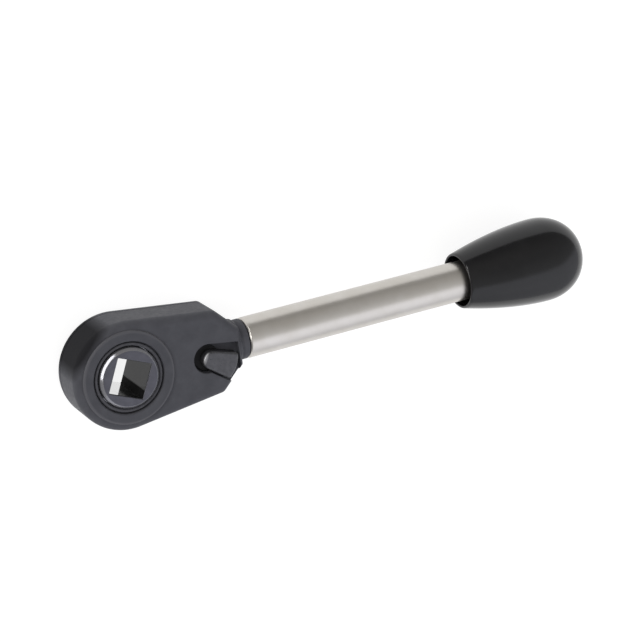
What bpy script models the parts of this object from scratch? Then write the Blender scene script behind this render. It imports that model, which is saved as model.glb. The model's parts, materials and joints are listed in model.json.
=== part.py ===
"""Reversible ratchet tap wrench with a through square socket.

The wrench lies along X, with the socket's axis along Z. Places are measured from the socket's
axis at the middle of the tube's thickness, and the empty wrench_frame shifts them so that the
world's origin is the centre of the whole wrench.
"""

import math

import bmesh
import bpy

MM = 0.001

# Gaps between pieces: between pieces that touch or turn, and along the cover's parting line.
GAP = 0.3 * MM
SEAM = 0.15 * MM

# Heights above and below the whole head, where the tools that cut into it start and end
ABOVE_HEAD = 12.0 * MM
BELOW_HEAD = -12.0 * MM

# Head
HEAD_RADIUS = 18.5 * MM
HEAD_FRONT = 8.4 * MM
HEAD_BACK = -8.4 * MM
HEAD_REAR = 41.0 * MM
SHOULDER_X = 33.0 * MM
FLANK_NORMAL = math.radians(82.7)
CHAMFER_NORMAL = math.radians(45)
SHOULDER_ROUND = 2.6 * MM
NECK_ROUND = 1.2 * MM
FRONT_ROUND = 2.8 * MM
BACK_ROUND = 1.6 * MM
BOSS_RADIUS = 15.9 * MM
BOSS_TOP = 9.2 * MM
BOSS_EDGE = 0.4 * MM
COLLAR_RADIUS = 6.9 * MM
COLLAR_END = 44.4 * MM

# Back cover and its screws
COVER_INNER = -5.6 * MM
SCREW_RADIUS = 1.0 * MM
SCREW_HEAD_RADIUS = 1.9 * MM
SCREW_END = 0.8 * MM
FRONT_SCREW_CIRCLE = 15.3 * MM
FRONT_SCREW_ANGLE = math.radians(125)
REAR_SCREW = (31.0 * MM, 10.2 * MM)

# Ratchet wheel
TEETH = 24
TIP_RADIUS = 12.8 * MM
ROOT_RADIUS = 11.4 * MM
TOOTH_FLAT = math.radians(1.2)
TEETH_HALF_WIDTH = 4.8 * MM
JOURNAL_RADIUS = 10.3 * MM
WHEEL_FRONT = 10.0 * MM
WHEEL_BACK = -10.0 * MM
WHEEL_CHAMFER = 0.9 * MM
SOCKET_SQUARE = 12.0 * MM
SOCKET_TURN = math.radians(-23.4)
SOCKET_FLARE = 0.4 * MM
WHEEL_POCKET_RADIUS = 13.2 * MM
WHEEL_POCKET_TOP = 5.9 * MM
SEAL_RADIUS = 11.25 * MM
SEAL_THICK = 1.2 * MM
SEAL_ROOM_RADIUS = 12.2 * MM
FRONT_SEAL_FLOOR = 7.4 * MM
BACK_SEAL_FLOOR = -7.0 * MM
SEAL_LIFT = 0.1 * MM

# Pawl
PAWL_X = 18.6 * MM
PAWL_BACK = 3.9 * MM
PAWL_LOW = -4.6 * MM
PAWL_HIGH = 2.7 * MM
PAWL_CLEARANCE = 0.55 * MM
PAWL_PIN_RADIUS = 1.6 * MM
PAWL_POCKET_START = 5.0 * MM
PAWL_POCKET_CORNER = 17.5 * MM
PAWL_POCKET_HALF = 10.8 * MM
PAWL_POCKET_TOP = 3.9 * MM
PIN_HOLE_TOP = 5.3 * MM
PIN_HOLE_BOTTOM = -7.4 * MM

# Selector
SELECTOR_PLACE = (28.2 * MM, -0.9 * MM)
SELECTOR_REST = math.radians(-27)
SELECTOR_SWING = math.radians(19)
PAWL_PER_SELECTOR = -0.545
RECESS_FLOOR = 5.4 * MM
RECESS_RADIUS = 4.95 * MM
RECESS_END = 39.6 * MM
RECESS_UPPER_NORMAL = math.radians(81.2)
RECESS_UPPER_REACH = 4.9 * MM
RECESS_LOWER_NORMAL = math.radians(-127)
RECESS_LOWER_REACH = 3.5 * MM
DISC_RADIUS = 4.5 * MM
DISC_TOP = 6.4 * MM
SHAFT_RADIUS = 3.6 * MM
SHAFT_STEP = -5.3 * MM
SHAFT_BOTTOM = -7.0 * MM
CLIP_ROOM = 0.15 * MM
PIVOT_RADIUS = 2.2 * MM
PADDLE_TOP = 9.6 * MM
PADDLE_REACH = 10.4 * MM
PADDLE_HUB_X = 1.3 * MM
PADDLE_HUB_RADIUS = 3.2 * MM
PADDLE_LEAN = math.radians(9)
PADDLE_CORNER = 1.0 * MM
PADDLE_ROUND = 0.8 * MM
CLIP_Z = 3.1 * MM
CLIP_THICK = 0.5 * MM
CLIP_RADIUS = 5.0 * MM

# Spring plunger, along its own axis from the selector's axis
PLUNGER_Z = -1.0 * MM
PLUNGER_RADIUS = 1.0 * MM
PLUNGER_START = 1.35 * MM
PLUNGER_TIP = 5.3 * MM
PLUNGER_MIDDLE = math.radians(170)
PLUNGER_BORE_END = -2.4 * MM
SPRING_RADIUS = 0.72 * MM
SPRING_WIRE = 0.2 * MM
SPRING_TURNS = 4

# Tube and what it is fixed to
TUBE_RADIUS = 7.0 * MM
TUBE_WALL = 1.5 * MM
TUBE_START = 44.7 * MM
TUBE_END = 158.0 * MM
SPIGOT_END = 62.0 * MM
SPRING_PIN_X = 52.0 * MM
SPRING_PIN_RADIUS = 1.25 * MM
PLUG_START = 144.0 * MM
STUD_RADIUS = 4.0 * MM
STUD_END = 170.0 * MM
BUSH_START = 160.2 * MM
BUSH_END = 172.0 * MM
BUSH_RADIUS = 6.3 * MM

# Grip
GRIP_MOUTH = 128.0 * MM
GRIP_MOUTH_RADIUS = 9.8 * MM
GRIP_WIDEST = 161.0 * MM
GRIP_RADIUS = 15.0 * MM
GRIP_END = 177.0 * MM
GRIP_TAPER_POWER = 1.75
GRIP_END_POWER = 2.15
MOUTH_INNER_RADIUS = 8.9 * MM
MOUTH_DEPTH = 12.0 * MM

WRENCH_MIDDLE = (GRIP_END - HEAD_RADIUS) / 2
PAWL_REST = -PAWL_PER_SELECTOR * SELECTOR_SWING / 2
PLUNGER_DIRECTION = PLUNGER_MIDDLE - SELECTOR_SWING / 2 - SELECTOR_REST


# Scene

def clear_scene():
    for old in list(bpy.data.objects):
        bpy.data.objects.remove(old, do_unlink=True)


def material(name, colour, roughness, metallic):
    made = bpy.data.materials.new(name)
    made.use_nodes = True
    shader = made.node_tree.nodes["Principled BSDF"]
    shader.inputs["Base Color"].default_value = (*colour, 1)
    shader.inputs["Roughness"].default_value = roughness
    shader.inputs["Metallic"].default_value = metallic
    return made


def add_empty(name, parent=None, location=(0, 0, 0), turn=0.0):
    empty = bpy.data.objects.new(name, None)
    empty.parent = parent
    empty.location = location
    empty.rotation_euler = (0, 0, turn)
    bpy.context.scene.collection.objects.link(empty)
    return empty


def add_mesh(name, rings, parent, finish=None, location=(0, 0, 0), rotation=(0, 0, 0), closed=False):
    """A solid from rings of points, each joined to the next, and the last to the first if closed."""
    shape = bmesh.new()
    loops = [[shape.verts.new(point) for point in ring] for ring in rings]
    pairs = list(zip(loops, loops[1:]))
    if closed:
        pairs.append((loops[-1], loops[0]))
    for first, second in pairs:
        bridge(shape, first, second)
    if not closed:
        for end in (loops[0], loops[-1]):
            if len(end) > 2:
                shape.faces.new(end)
    bmesh.ops.recalc_face_normals(shape, faces=shape.faces)
    mesh = bpy.data.meshes.new(name)
    shape.to_mesh(mesh)
    shape.free()
    mesh.shade_smooth()
    mesh.set_sharp_from_angle(angle=math.radians(35))
    solid = bpy.data.objects.new(name, mesh)
    solid.parent = parent
    solid.location = location
    solid.rotation_euler = rotation
    bpy.context.scene.collection.objects.link(solid)
    if finish:
        mesh.materials.append(finish)
    else:
        solid.hide_render = True
        solid.display_type = "WIRE"
    return solid


def bridge(shape, first, second):
    """Faces between two rings. A ring of one point is the tip of a fan."""
    count = max(len(first), len(second))
    for i in range(count):
        j = (i + 1) % count
        if len(first) == 1:
            corners = (first[0], second[j], second[i])
        elif len(second) == 1:
            corners = (first[i], first[j], second[0])
        else:
            corners = (first[i], first[j], second[j], second[i])
        shape.faces.new(corners)


def boolean(target, operation, *others):
    for other in others:
        step = target.modifiers.new(other.name, "BOOLEAN")
        step.operation = operation
        step.solver = "EXACT"
        step.object = other


# Outlines and rings

def arc(radius, start, end, steps, centre=(0, 0)):
    """Points of an arc from one angle to another, both ends included."""
    angles = [start + (end - start) * i / steps for i in range(steps + 1)]
    return [(centre[0] + radius * math.cos(a), centre[1] + radius * math.sin(a)) for a in angles]


def line_corner(first, second):
    """Where two lines meet, each given by its normal's angle and its distance from the origin."""
    a, p = first
    b, q = second
    span = math.sin(b - a)
    x = (p * math.sin(b) - q * math.sin(a)) / span
    y = (q * math.cos(a) - p * math.cos(b)) / span
    return x, y


def fillet(first, second, radius, steps=4):
    """The rounded corner of a convex outline, from the first line to the second."""
    centre = line_corner((first[0], first[1] - radius), (second[0], second[1] - radius))
    return arc(radius, first[0], second[0], steps, centre)


def flat_ring(outline, z):
    return [(x, y, z) for x, y in outline]


def prism(outline, low, high):
    return [flat_ring(outline, low), flat_ring(outline, high)]


def rounded_slab(outline, low, high, round_low, round_high, steps=4):
    """Rings of a plate whose outline draws in along a quarter circle at its two faces."""
    rings = []
    for face, radius, inward in ((low, round_low, 1), (high, round_high, -1)):
        count = steps if radius else 0
        edge = []
        for i in range(count + 1):
            t = math.pi / 2 * i / count if count else 0
            inset = radius * (1 - math.sin(t))
            edge.append(flat_ring(outline(inset), face + inward * radius * (1 - math.cos(t))))
        rings += edge if inward > 0 else reversed(edge)
    return rings


def turned(profile, segments=32, start=0.0):
    """Rings of a turned piece about Z, from (radius, z) points. A radius of 0 is on the axis."""
    rings = []
    for radius, z in profile:
        if radius:
            circle = arc(radius, start, start + math.tau, segments)[:-1]
            rings.append(flat_ring(circle, z))
        else:
            rings.append([(0, 0, z)])
    return rings


def rod(radius, low, high, segments=24, edge=0.0):
    """A plain turned rod, with both ends chamfered by edge."""
    profile = [(0, low), (radius - edge, low), (radius, low + edge)]
    profile += [(radius, high - edge), (radius - edge, high), (0, high)]
    if not edge:
        profile = [(0, low), (radius, low), (radius, high), (0, high)]
    return turned(profile, segments)


def head_outline(inset=0.0):
    """The head seen from the front: round end, converging flanks, shoulders and rear chamfers."""
    shoulder_y = (HEAD_RADIUS - SHOULDER_X * math.cos(FLANK_NORMAL)) / math.sin(FLANK_NORMAL)
    across = SHOULDER_X * math.cos(CHAMFER_NORMAL) + shoulder_y * math.sin(CHAMFER_NORMAL)
    rear = (0.0, HEAD_REAR - inset)
    chamfer = (CHAMFER_NORMAL, across - inset)
    flank = (FLANK_NORMAL, HEAD_RADIUS - inset)
    least = 0.15 * MM
    half = fillet(rear, chamfer, max(NECK_ROUND - inset, least))
    half += fillet(chamfer, flank, max(SHOULDER_ROUND - inset, least))
    half += arc(HEAD_RADIUS - inset, FLANK_NORMAL, math.pi / 2, 2)[1:]
    half += arc(HEAD_RADIUS - inset, math.pi / 2, math.pi, 22)[1:-1]
    tip = [(inset - HEAD_RADIUS, 0)]
    return half + tip + [(x, -y) for x, y in reversed(half)]


def wheel_outline(extra=0.0):
    """The toothed rim, with a gap centred on every tooth pitch, and grown by extra all round."""
    pitch = math.tau / TEETH
    shift = extra * 0.5 / (0.5 * (TIP_RADIUS + ROOT_RADIUS))
    outline = []
    for tooth in range(TEETH):
        middle = (tooth + 0.5) * pitch
        root_reach = pitch / 2 - TOOTH_FLAT + shift
        for radius, angle in (
            (ROOT_RADIUS, -root_reach),
            (TIP_RADIUS, -TOOTH_FLAT - shift),
            (TIP_RADIUS, TOOTH_FLAT + shift),
            (ROOT_RADIUS, root_reach),
        ):
            reach = radius + extra
            outline.append((reach * math.cos(middle + angle), reach * math.sin(middle + angle)))
    return outline


def pawl_outline():
    """The double-ended pawl, straight, measured from its pivot. It is symmetrical about X."""
    clear = TIP_RADIUS + PAWL_CLEARANCE
    half = arc(clear, 0, math.radians(24), 6)[1:]
    half += arc(clear, math.radians(25.5), math.radians(39), 5)
    half += [(13.6 * MM, 9.5 * MM), (15.8 * MM, 9.1 * MM)]
    half += [(PAWL_X + 3.2 * MM, 5.0 * MM), (PAWL_X + PAWL_BACK, 4.0 * MM)]
    whole = [(clear, 0)] + half + [(x, -y) for x, y in reversed(half)]
    return [(x - PAWL_X, y) for x, y in whole]


def recess_outline():
    """The thumb recess: a round around the selector, and two walls that leave it to the rear."""
    upper = RECESS_UPPER_NORMAL - math.acos(RECESS_UPPER_REACH / RECESS_RADIUS)
    lower = RECESS_LOWER_NORMAL + math.acos(RECESS_LOWER_REACH / RECESS_RADIUS) + math.tau
    outline = arc(RECESS_RADIUS, upper, lower, 24, SELECTOR_PLACE)
    ends = []
    for normal, reach in (
        (RECESS_LOWER_NORMAL, RECESS_LOWER_REACH),
        (RECESS_UPPER_NORMAL, RECESS_UPPER_REACH),
    ):
        along = RECESS_END - SELECTOR_PLACE[0]
        across = (reach - along * math.cos(normal)) / math.sin(normal)
        ends.append((RECESS_END, SELECTOR_PLACE[1] + across))
    return outline + ends


def paddle_outline(inset=0.0):
    """The selector's thumb paddle, along +X from its axis: round hub, spreading sides, round end."""
    reach = PADDLE_REACH - inset
    corner = max(PADDLE_CORNER - inset, 0.15 * MM)
    side = PADDLE_HUB_RADIUS - PADDLE_HUB_X * math.sin(PADDLE_LEAN) - PADDLE_CORNER
    ring = PADDLE_REACH - PADDLE_CORNER
    angle = PADDLE_LEAN + math.asin(side / ring)
    centre = (ring * math.cos(angle), ring * math.sin(angle))
    normal = math.pi / 2 + PADDLE_LEAN
    half = arc(reach, 0, angle, 3)[:-1]
    half += arc(corner, angle, normal, 3, centre)
    half += arc(PADDLE_HUB_RADIUS - inset, normal, math.pi, 6, (PADDLE_HUB_X, 0))
    return half + [(x, -y) for x, y in reversed(half[1:-1])]


def grip_profile():
    """(radius, x) points from the bottom of the grip's bore, over the mouth's rim, to its end."""
    bore = TUBE_RADIUS + GAP
    inner = [
        (0, BUSH_END + GAP),
        (BUSH_RADIUS + GAP, BUSH_END + GAP),
        (BUSH_RADIUS + GAP, BUSH_START - 0.4 * MM),
        (bore, BUSH_START - 0.4 * MM),
        (bore, GRIP_MOUTH + MOUTH_DEPTH),
        (bore + 0.9 * MM, GRIP_MOUTH + MOUTH_DEPTH - 1.5 * MM),
        (MOUTH_INNER_RADIUS, GRIP_MOUTH + 0.4 * MM),
        (MOUTH_INNER_RADIUS + 0.3 * MM, GRIP_MOUTH),
        (GRIP_MOUTH_RADIUS - 0.3 * MM, GRIP_MOUTH),
    ]
    length = GRIP_WIDEST - GRIP_MOUTH
    rise = GRIP_RADIUS - GRIP_MOUTH_RADIUS
    taper = []
    for i in range(9):
        x = GRIP_MOUTH + 0.3 * MM + (length - 0.3 * MM) * i / 8
        drop = rise * ((GRIP_WIDEST - x) / length) ** GRIP_TAPER_POWER
        taper.append((GRIP_RADIUS - drop, x))
    end = []
    for i in range(1, 9):
        t = math.pi / 2 * (1 - i / 9)
        x = GRIP_WIDEST + (GRIP_END - GRIP_WIDEST) * math.cos(t) ** (2 / GRIP_END_POWER)
        end.append((GRIP_RADIUS * math.sin(t) ** (2 / GRIP_END_POWER), x))
    return inner + taper + end + [(0, GRIP_END)]


# Places that several pieces share

def along_x(x=0.0):
    """Location and rotation that lay a turned piece's own Z along the wrench."""
    return {"location": (x, 0, 0), "rotation": (0, math.pi / 2, 0)}


def screw_places():
    places = []
    for side in (1, -1):
        angle = side * FRONT_SCREW_ANGLE
        front = (FRONT_SCREW_CIRCLE * math.cos(angle), FRONT_SCREW_CIRCLE * math.sin(angle))
        places += [front, (REAR_SCREW[0], side * REAR_SCREW[1])]
    return places


def drill(target, frame, name, place, radius, low, high):
    """A round hole along Z."""
    cutter = add_mesh(name, rod(radius, low, high, 20), frame, location=(*place, 0))
    boolean(target, "DIFFERENCE", cutter)


# Head

def build_housing(frame, finish):
    rings = rounded_slab(head_outline, COVER_INNER + SEAM, HEAD_FRONT, 0, FRONT_ROUND)
    housing = add_mesh("housing", rings, frame, finish)
    boss = turned(
        [
            (0, HEAD_FRONT - 1 * MM),
            (BOSS_RADIUS, HEAD_FRONT - 1 * MM),
            (BOSS_RADIUS, BOSS_TOP - BOSS_EDGE),
            (BOSS_RADIUS - BOSS_EDGE, BOSS_TOP),
            (0, BOSS_TOP),
        ],
        64,
    )
    spigot_radius = TUBE_RADIUS - TUBE_WALL - GAP
    neck = turned(
        [
            (0, SHOULDER_X + 1 * MM),
            (COLLAR_RADIUS, SHOULDER_X + 1 * MM),
            (COLLAR_RADIUS, COLLAR_END - 0.5 * MM),
            (COLLAR_RADIUS - 0.5 * MM, COLLAR_END),
            (spigot_radius, COLLAR_END),
            (spigot_radius, SPIGOT_END - 0.8 * MM),
            (spigot_radius - 0.8 * MM, SPIGOT_END),
            (0, SPIGOT_END),
        ],
        48,
    )
    boolean(
        housing,
        "UNION",
        add_mesh("housing_boss", boss, frame),
        add_mesh("housing_neck", neck, frame, **along_x()),
    )
    below = [(0, -30 * MM), (HEAD_REAR + GAP, -30 * MM), (HEAD_REAR + GAP, 30 * MM), (0, 30 * MM)]
    room_for_cover = add_mesh("room_for_cover", prism(below, BELOW_HEAD, COVER_INNER + SEAM), frame)
    wheel_room = turned(
        [
            (0, BELOW_HEAD),
            (WHEEL_POCKET_RADIUS, BELOW_HEAD),
            (WHEEL_POCKET_RADIUS, WHEEL_POCKET_TOP),
            (JOURNAL_RADIUS + GAP, WHEEL_POCKET_TOP),
            (JOURNAL_RADIUS + GAP, FRONT_SEAL_FLOOR),
            (SEAL_ROOM_RADIUS, FRONT_SEAL_FLOOR),
            (SEAL_ROOM_RADIUS, BOSS_TOP - BOSS_EDGE),
            (SEAL_ROOM_RADIUS + BOSS_EDGE, BOSS_TOP),
            (SEAL_ROOM_RADIUS + BOSS_EDGE, ABOVE_HEAD),
            (0, ABOVE_HEAD),
        ],
        64,
    )
    start, corner, half = PAWL_POCKET_START, PAWL_POCKET_CORNER, PAWL_POCKET_HALF
    pocket = [(start, -half), (corner, -half)]
    pocket += arc(SHAFT_RADIUS + 2 * MM, -math.pi / 2, math.pi / 2, 10, SELECTOR_PLACE)
    pocket += [(corner, half), (start, half)]
    boolean(
        housing,
        "DIFFERENCE",
        room_for_cover,
        add_mesh("wheel_room", wheel_room, frame),
        add_mesh("pawl_pocket", prism(pocket, BELOW_HEAD, PAWL_POCKET_TOP), frame),
        add_mesh("thumb_recess", prism(recess_outline(), RECESS_FLOOR, ABOVE_HEAD), frame),
    )
    selector_bore = SHAFT_RADIUS + GAP
    drill(housing, frame, "selector_bore", SELECTOR_PLACE, selector_bore, 3 * MM, 7 * MM)
    drill(housing, frame, "pawl_pin_hole", (PAWL_X, 0), PAWL_PIN_RADIUS + GAP, 3 * MM, PIN_HOLE_TOP)
    for number, place in enumerate(screw_places(), 1):
        name = f"screw_thread_{number}"
        drill(housing, frame, name, place, SCREW_RADIUS + 0.2 * MM, -7 * MM, SCREW_END + 0.5 * MM)
    pin_hole = (SPRING_PIN_X, 0)
    drill(housing, frame, "spigot_hole", pin_hole, SPRING_PIN_RADIUS + GAP, -8 * MM, -1 * MM)


def build_back_cover(frame, finish):
    rings = rounded_slab(head_outline, HEAD_BACK, COVER_INNER, BACK_ROUND, 0)
    cover = add_mesh("back_cover", rings, frame, finish)
    wheel_room = turned(
        [
            (0, BELOW_HEAD),
            (SEAL_ROOM_RADIUS, BELOW_HEAD),
            (SEAL_ROOM_RADIUS, BACK_SEAL_FLOOR),
            (JOURNAL_RADIUS + GAP, BACK_SEAL_FLOOR),
            (JOURNAL_RADIUS + GAP, -5 * MM),
            (0, -5 * MM),
        ],
        64,
    )
    boolean(cover, "DIFFERENCE", add_mesh("cover_wheel_room", wheel_room, frame))
    pin_place = (PAWL_X, 0)
    pin_radius = PAWL_PIN_RADIUS + GAP
    drill(cover, frame, "cover_pin_hole", pin_place, pin_radius, PIN_HOLE_BOTTOM, -5 * MM)
    pivot_radius = PIVOT_RADIUS + GAP
    drill(cover, frame, "cover_pivot_hole", SELECTOR_PLACE, pivot_radius, -7.3 * MM, -5 * MM)
    outside = HEAD_BACK - 0.5 * MM
    wide = SCREW_HEAD_RADIUS + 0.2 * MM
    countersink = turned(
        [
            (0, outside),
            (wide, outside),
            (wide, HEAD_BACK + 0.2 * MM),
            (SCREW_RADIUS + 0.2 * MM, HEAD_BACK + 1.1 * MM),
            (SCREW_RADIUS + 0.2 * MM, -5 * MM),
            (0, -5 * MM),
        ],
        20,
    )
    for number, place in enumerate(screw_places(), 1):
        cutter = add_mesh(f"countersink_{number}", countersink, frame, location=(*place, 0))
        boolean(cover, "DIFFERENCE", cutter)


def build_cover_screws(frame, finish):
    face = HEAD_BACK + 0.1 * MM
    body = turned(
        [
            (0, face),
            (SCREW_HEAD_RADIUS, face),
            (SCREW_HEAD_RADIUS, face + 0.2 * MM),
            (SCREW_RADIUS, face + 1.1 * MM),
            (SCREW_RADIUS, SCREW_END - 0.4 * MM),
            (SCREW_RADIUS - 0.4 * MM, SCREW_END),
            (0, SCREW_END),
        ],
        18,
    )
    key = rod(0.75 * MM, face - 1 * MM, face + 0.8 * MM, 6)
    for number, place in enumerate(screw_places(), 1):
        screw = add_mesh(f"cover_screw_{number}", body, frame, finish, location=(*place, 0))
        socket = add_mesh(f"screw_socket_{number}", key, frame, location=(*place, 0))
        boolean(screw, "DIFFERENCE", socket)


# Ratchet wheel and its rings

def build_ratchet_wheel(frame, finish):
    journal = turned(
        [
            (0, WHEEL_BACK),
            (JOURNAL_RADIUS - WHEEL_CHAMFER, WHEEL_BACK),
            (JOURNAL_RADIUS, WHEEL_BACK + WHEEL_CHAMFER),
            (JOURNAL_RADIUS, WHEEL_FRONT - WHEEL_CHAMFER),
            (JOURNAL_RADIUS - WHEEL_CHAMFER, WHEEL_FRONT),
            (0, WHEEL_FRONT),
        ],
        64,
    )
    wheel = add_mesh("ratchet_wheel", journal, frame, finish)
    rim = prism(wheel_outline(), -TEETH_HALF_WIDTH, TEETH_HALF_WIDTH)
    boolean(wheel, "UNION", add_mesh("toothed_rim", rim, frame))
    corner = SOCKET_SQUARE / math.sqrt(2)
    flare = SOCKET_FLARE * math.sqrt(2)
    socket = turned(
        [
            (0, WHEEL_BACK - 1 * MM),
            (corner + flare, WHEEL_BACK - 1 * MM),
            (corner + flare, WHEEL_BACK),
            (corner, WHEEL_BACK + SOCKET_FLARE),
            (corner, WHEEL_FRONT - SOCKET_FLARE),
            (corner + flare, WHEEL_FRONT),
            (corner + flare, WHEEL_FRONT + 1 * MM),
            (0, WHEEL_FRONT + 1 * MM),
        ],
        4,
        SOCKET_TURN + math.pi / 4,
    )
    boolean(wheel, "DIFFERENCE", add_mesh("square_socket", socket, frame))


def build_seal_ring(name, z, frame, finish):
    section = arc(SEAL_THICK / 2, 0, math.tau, 6, (SEAL_RADIUS, z))[:-1]
    add_mesh(name, turned(section, 36), frame, finish, closed=True)


def build_wave_washer(frame, finish):
    """A thin spring ring with three waves, which keeps the wheel from turning by itself."""
    middle = (TEETH_HALF_WIDTH + WHEEL_POCKET_TOP) / 2
    rings = []
    for radius, side in ((10.7, -1), (12.8, -1), (12.8, 1), (10.7, 1)):
        ring = []
        for x, y in arc(radius * MM, 0, math.tau, 48)[:-1]:
            wave = 0.1 * MM * math.cos(3 * math.atan2(y, x))
            ring.append((x, y, middle + side * 0.15 * MM + wave))
        rings.append(ring)
    add_mesh("wave_washer", rings, frame, finish, closed=True)


# Pawl

def build_pawl(frame, finish):
    pivot = add_empty("pawl_pivot", frame, (PAWL_X, 0, 0), PAWL_REST)
    pawl = add_mesh("pawl", prism(pawl_outline(), PAWL_LOW, PAWL_HIGH), pivot, finish)
    hole = add_mesh("pawl_hole", rod(PAWL_PIN_RADIUS + GAP, -8 * MM, 8 * MM), pivot)
    boolean(pawl, "DIFFERENCE", hole)
    room = prism(wheel_outline(GAP), -8 * MM, 8 * MM)
    for side in (1, -1):
        turn = -side * PAWL_REST
        place = (-PAWL_X * math.cos(turn), -PAWL_X * math.sin(turn), 0)
        name = "engaged_wheel_upper" if side > 0 else "engaged_wheel_lower"
        wheel = add_mesh(name, room, pivot, location=place, rotation=(0, 0, turn))
        boolean(pawl, "DIFFERENCE", wheel)


def build_pawl_pin(frame, finish):
    low = PIN_HOLE_BOTTOM + GAP
    pin = rod(PAWL_PIN_RADIUS, low, PIN_HOLE_TOP - GAP, 24, 0.3 * MM)
    add_mesh("pawl_pin", pin, frame, finish, location=(PAWL_X, 0, 0))


# Selector, its clip and its spring plunger

def build_selector(pivot, finish):
    bottom = RECESS_FLOOR + GAP
    groove_low = CLIP_Z - CLIP_ROOM
    groove_high = CLIP_Z + CLIP_THICK + CLIP_ROOM
    shaft = turned(
        [
            (0, SHAFT_BOTTOM),
            (PIVOT_RADIUS - 0.3 * MM, SHAFT_BOTTOM),
            (PIVOT_RADIUS, SHAFT_BOTTOM + 0.3 * MM),
            (PIVOT_RADIUS, SHAFT_STEP),
            (SHAFT_RADIUS, SHAFT_STEP),
            (SHAFT_RADIUS, groove_low),
            (SHAFT_RADIUS - 0.7 * MM, groove_low),
            (SHAFT_RADIUS - 0.7 * MM, groove_high),
            (SHAFT_RADIUS, groove_high),
            (SHAFT_RADIUS, bottom),
            (DISC_RADIUS, bottom),
            (DISC_RADIUS, DISC_TOP - 0.3 * MM),
            (DISC_RADIUS - 0.3 * MM, DISC_TOP),
            (0, DISC_TOP),
        ],
        32,
    )
    selector = add_mesh("selector_lever", shaft, pivot, finish)
    paddle = rounded_slab(paddle_outline, bottom + 0.05 * MM, PADDLE_TOP, 0, PADDLE_ROUND, 3)
    boolean(selector, "UNION", add_mesh("thumb_paddle", paddle, pivot))
    bore = rod(PLUNGER_RADIUS + GAP, PLUNGER_BORE_END, 6 * MM, 20)
    place = (0, 0, PLUNGER_Z)
    turn = (0, math.pi / 2, PLUNGER_DIRECTION)
    cutter = add_mesh("plunger_bore", bore, pivot, location=place, rotation=turn)
    boolean(selector, "DIFFERENCE", cutter)


def build_selector_clip(pivot, finish):
    """An open ring that snaps into the shaft's groove under the head's front wall."""
    opening = math.radians(35)
    outline = arc(CLIP_RADIUS, opening, math.tau - opening, 28)
    outline += arc(SHAFT_RADIUS - 0.4 * MM, math.tau - opening, opening, 28)
    add_mesh("selector_clip", prism(outline, CLIP_Z, CLIP_Z + CLIP_THICK), pivot, finish)


def build_plunger(axis, finish):
    nose = arc(PLUNGER_RADIUS, 0, math.pi / 2, 6, (0, PLUNGER_TIP - PLUNGER_RADIUS))[:-1]
    profile = [(0, PLUNGER_START), (PLUNGER_RADIUS, PLUNGER_START)] + nose + [(0, PLUNGER_TIP)]
    add_mesh("detent_plunger", turned(profile, 24), axis, finish)


def build_plunger_spring(axis, finish):
    low = PLUNGER_BORE_END + GAP + SPRING_WIRE
    high = PLUNGER_START - GAP - SPRING_WIRE
    steps = SPRING_TURNS * 12
    rings = []
    for i in range(steps + 1):
        a = math.tau * SPRING_TURNS * i / steps
        z = low + (high - low) * i / steps
        section = arc(SPRING_WIRE, 0, math.tau, 5, (SPRING_RADIUS, z))[:-1]
        rings.append([(r * math.cos(a), r * math.sin(a), height) for r, height in section])
    add_mesh("plunger_spring", rings, axis, finish)


# Handle

def build_tube(frame, finish):
    inner = TUBE_RADIUS - TUBE_WALL
    edge = 0.5 * MM
    profile = [
        (inner, TUBE_START + edge / 2),
        (inner + edge / 2, TUBE_START),
        (TUBE_RADIUS - edge, TUBE_START),
        (TUBE_RADIUS, TUBE_START + edge),
        (TUBE_RADIUS, TUBE_END - edge),
        (TUBE_RADIUS - edge, TUBE_END),
        (inner + edge / 2, TUBE_END),
        (inner, TUBE_END - edge / 2),
    ]
    tube = add_mesh("handle_tube", turned(profile, 48), frame, finish, closed=True, **along_x())
    pin_hole = (SPRING_PIN_X, 0)
    drill(tube, frame, "tube_pin_hole", pin_hole, SPRING_PIN_RADIUS + GAP, -9 * MM, -4 * MM)


def build_spring_pin(frame, finish):
    pin = rod(SPRING_PIN_RADIUS, -6.7 * MM, -1.3 * MM, 24, 0.3 * MM)
    add_mesh("spring_pin", pin, frame, finish, location=(SPRING_PIN_X, 0, 0))


def build_tube_end_plug(frame, finish):
    body = TUBE_RADIUS - TUBE_WALL - GAP
    flange = TUBE_END + GAP
    profile = [
        (0, PLUG_START),
        (body - 0.5 * MM, PLUG_START),
        (body, PLUG_START + 0.5 * MM),
        (body, flange),
        (TUBE_RADIUS - 0.3 * MM, flange),
        (TUBE_RADIUS - 0.3 * MM, flange + 1.2 * MM),
        (STUD_RADIUS, flange + 1.2 * MM),
        (STUD_RADIUS, STUD_END - 0.6 * MM),
        (STUD_RADIUS - 0.6 * MM, STUD_END),
        (0, STUD_END),
    ]
    add_mesh("tube_end_plug", turned(profile, 32), frame, finish, **along_x())


def build_grip_bush(frame, finish):
    """The threaded bush moulded into the grip, with rings round it that hold it in the plastic."""
    bore = STUD_RADIUS + GAP
    step = (BUSH_END - BUSH_START) / 6
    profile = [(bore, BUSH_START), (BUSH_RADIUS, BUSH_START)]
    for rib in range(3):
        start = BUSH_START + (2 * rib + 1) * step
        profile += [(BUSH_RADIUS, start), (BUSH_RADIUS - 0.5 * MM, start + 0.3 * MM)]
        if rib < 2:
            profile += [(BUSH_RADIUS - 0.5 * MM, start + step - 0.3 * MM), (BUSH_RADIUS, start + step)]
    profile += [(BUSH_RADIUS - 0.5 * MM, BUSH_END), (bore, BUSH_END)]
    add_mesh("grip_bush", turned(profile, 32), frame, finish, closed=True, **along_x())


def build_grip(frame, finish):
    add_mesh("grip", turned(grip_profile(), 48), frame, finish, **along_x())


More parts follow.
